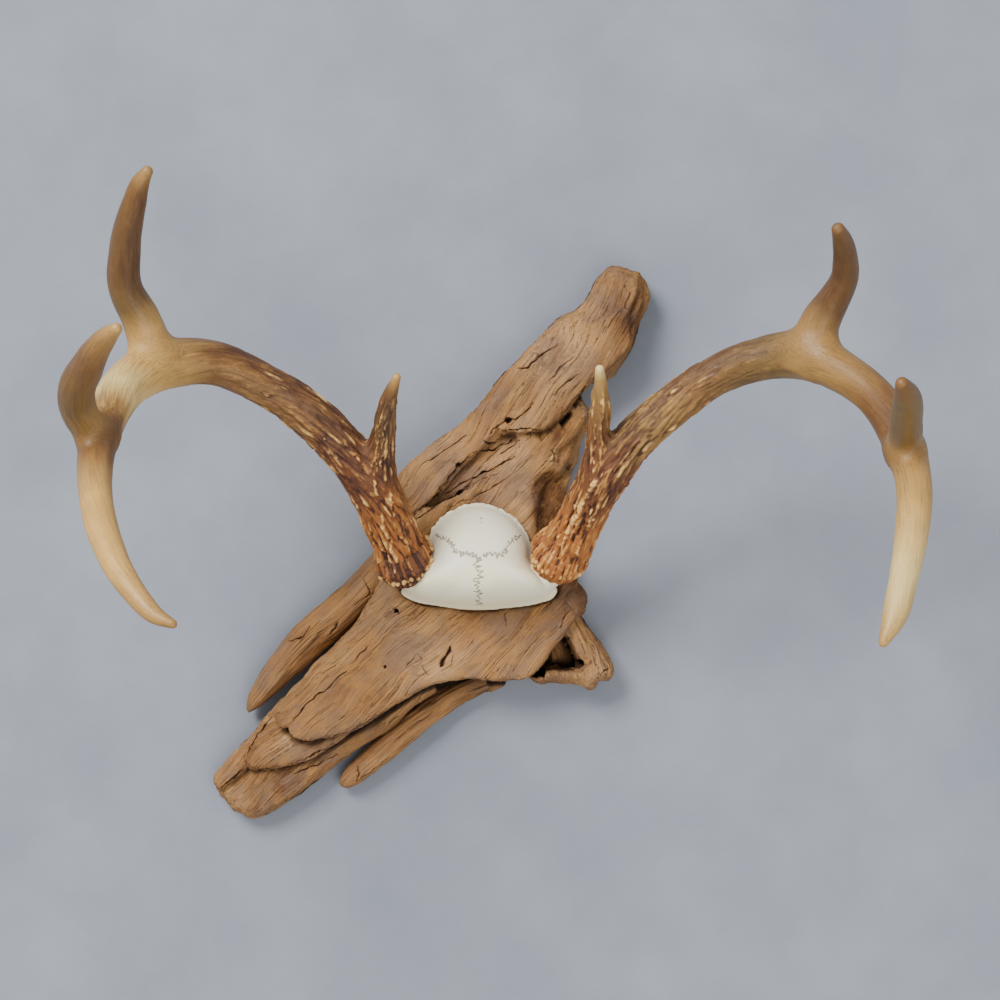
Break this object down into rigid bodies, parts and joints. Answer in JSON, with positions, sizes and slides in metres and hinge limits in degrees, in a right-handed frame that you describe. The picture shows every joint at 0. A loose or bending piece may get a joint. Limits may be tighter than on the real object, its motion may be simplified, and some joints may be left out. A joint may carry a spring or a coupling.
{
  "type": "deer antler mount",
  "caption": "Deer's antlers on their sawn skull cap, mounted on a weathered driftwood log with a flat sawn back.",
  "frame": {"origin": "on the driftwood's flat back, under the middle of the skull cap", "axes": "+Z out of the flat back through the skull cap, +X across the two antlers, +Y from the wood's foot to its head, which is up when it hangs"},
  "size_m": [0.5145, 0.4161, 0.3658],
  "materials": {
    "antler": "hard antler: orange-brown and ridged at the base with cream pearls, smooth ivory-tan towards the tips, satin",
    "skull_bone": "bleached bone, cream, satin",
    "driftwood": "weathered bare driftwood, brown to greyish mauve, matt, with dark splits",
    "plain_wood": "bare carved softwood",
    "zinc_steel": "zinc-plated, satin"
  },
  "bodies": {
    "root": {"left_main_beam": "antler", "left_brow_tine": "antler", "left_g2_tine": "antler", "left_g3_tine": "antler", "right_main_beam": "antler", "right_brow_tine": "antler", "right_g2_tine": "antler", "right_g3_tine": "antler", "skull_cap": "skull_bone", "driftwood_trunk": "driftwood", "upper_limb": "driftwood", "layered_lower_end": "driftwood", "left_prong": "driftwood", "thin_prong": "driftwood", "right_stub": "driftwood", "small_knob": "driftwood", "mounting_block": "plain_wood", "upper_screw": "zinc_steel", "lower_screw": "zinc_steel", "sawtooth_hanger": "zinc_steel", "left_hanger_nail": "zinc_steel", "right_hanger_nail": "zinc_steel"}
  },
  "joints": []
}
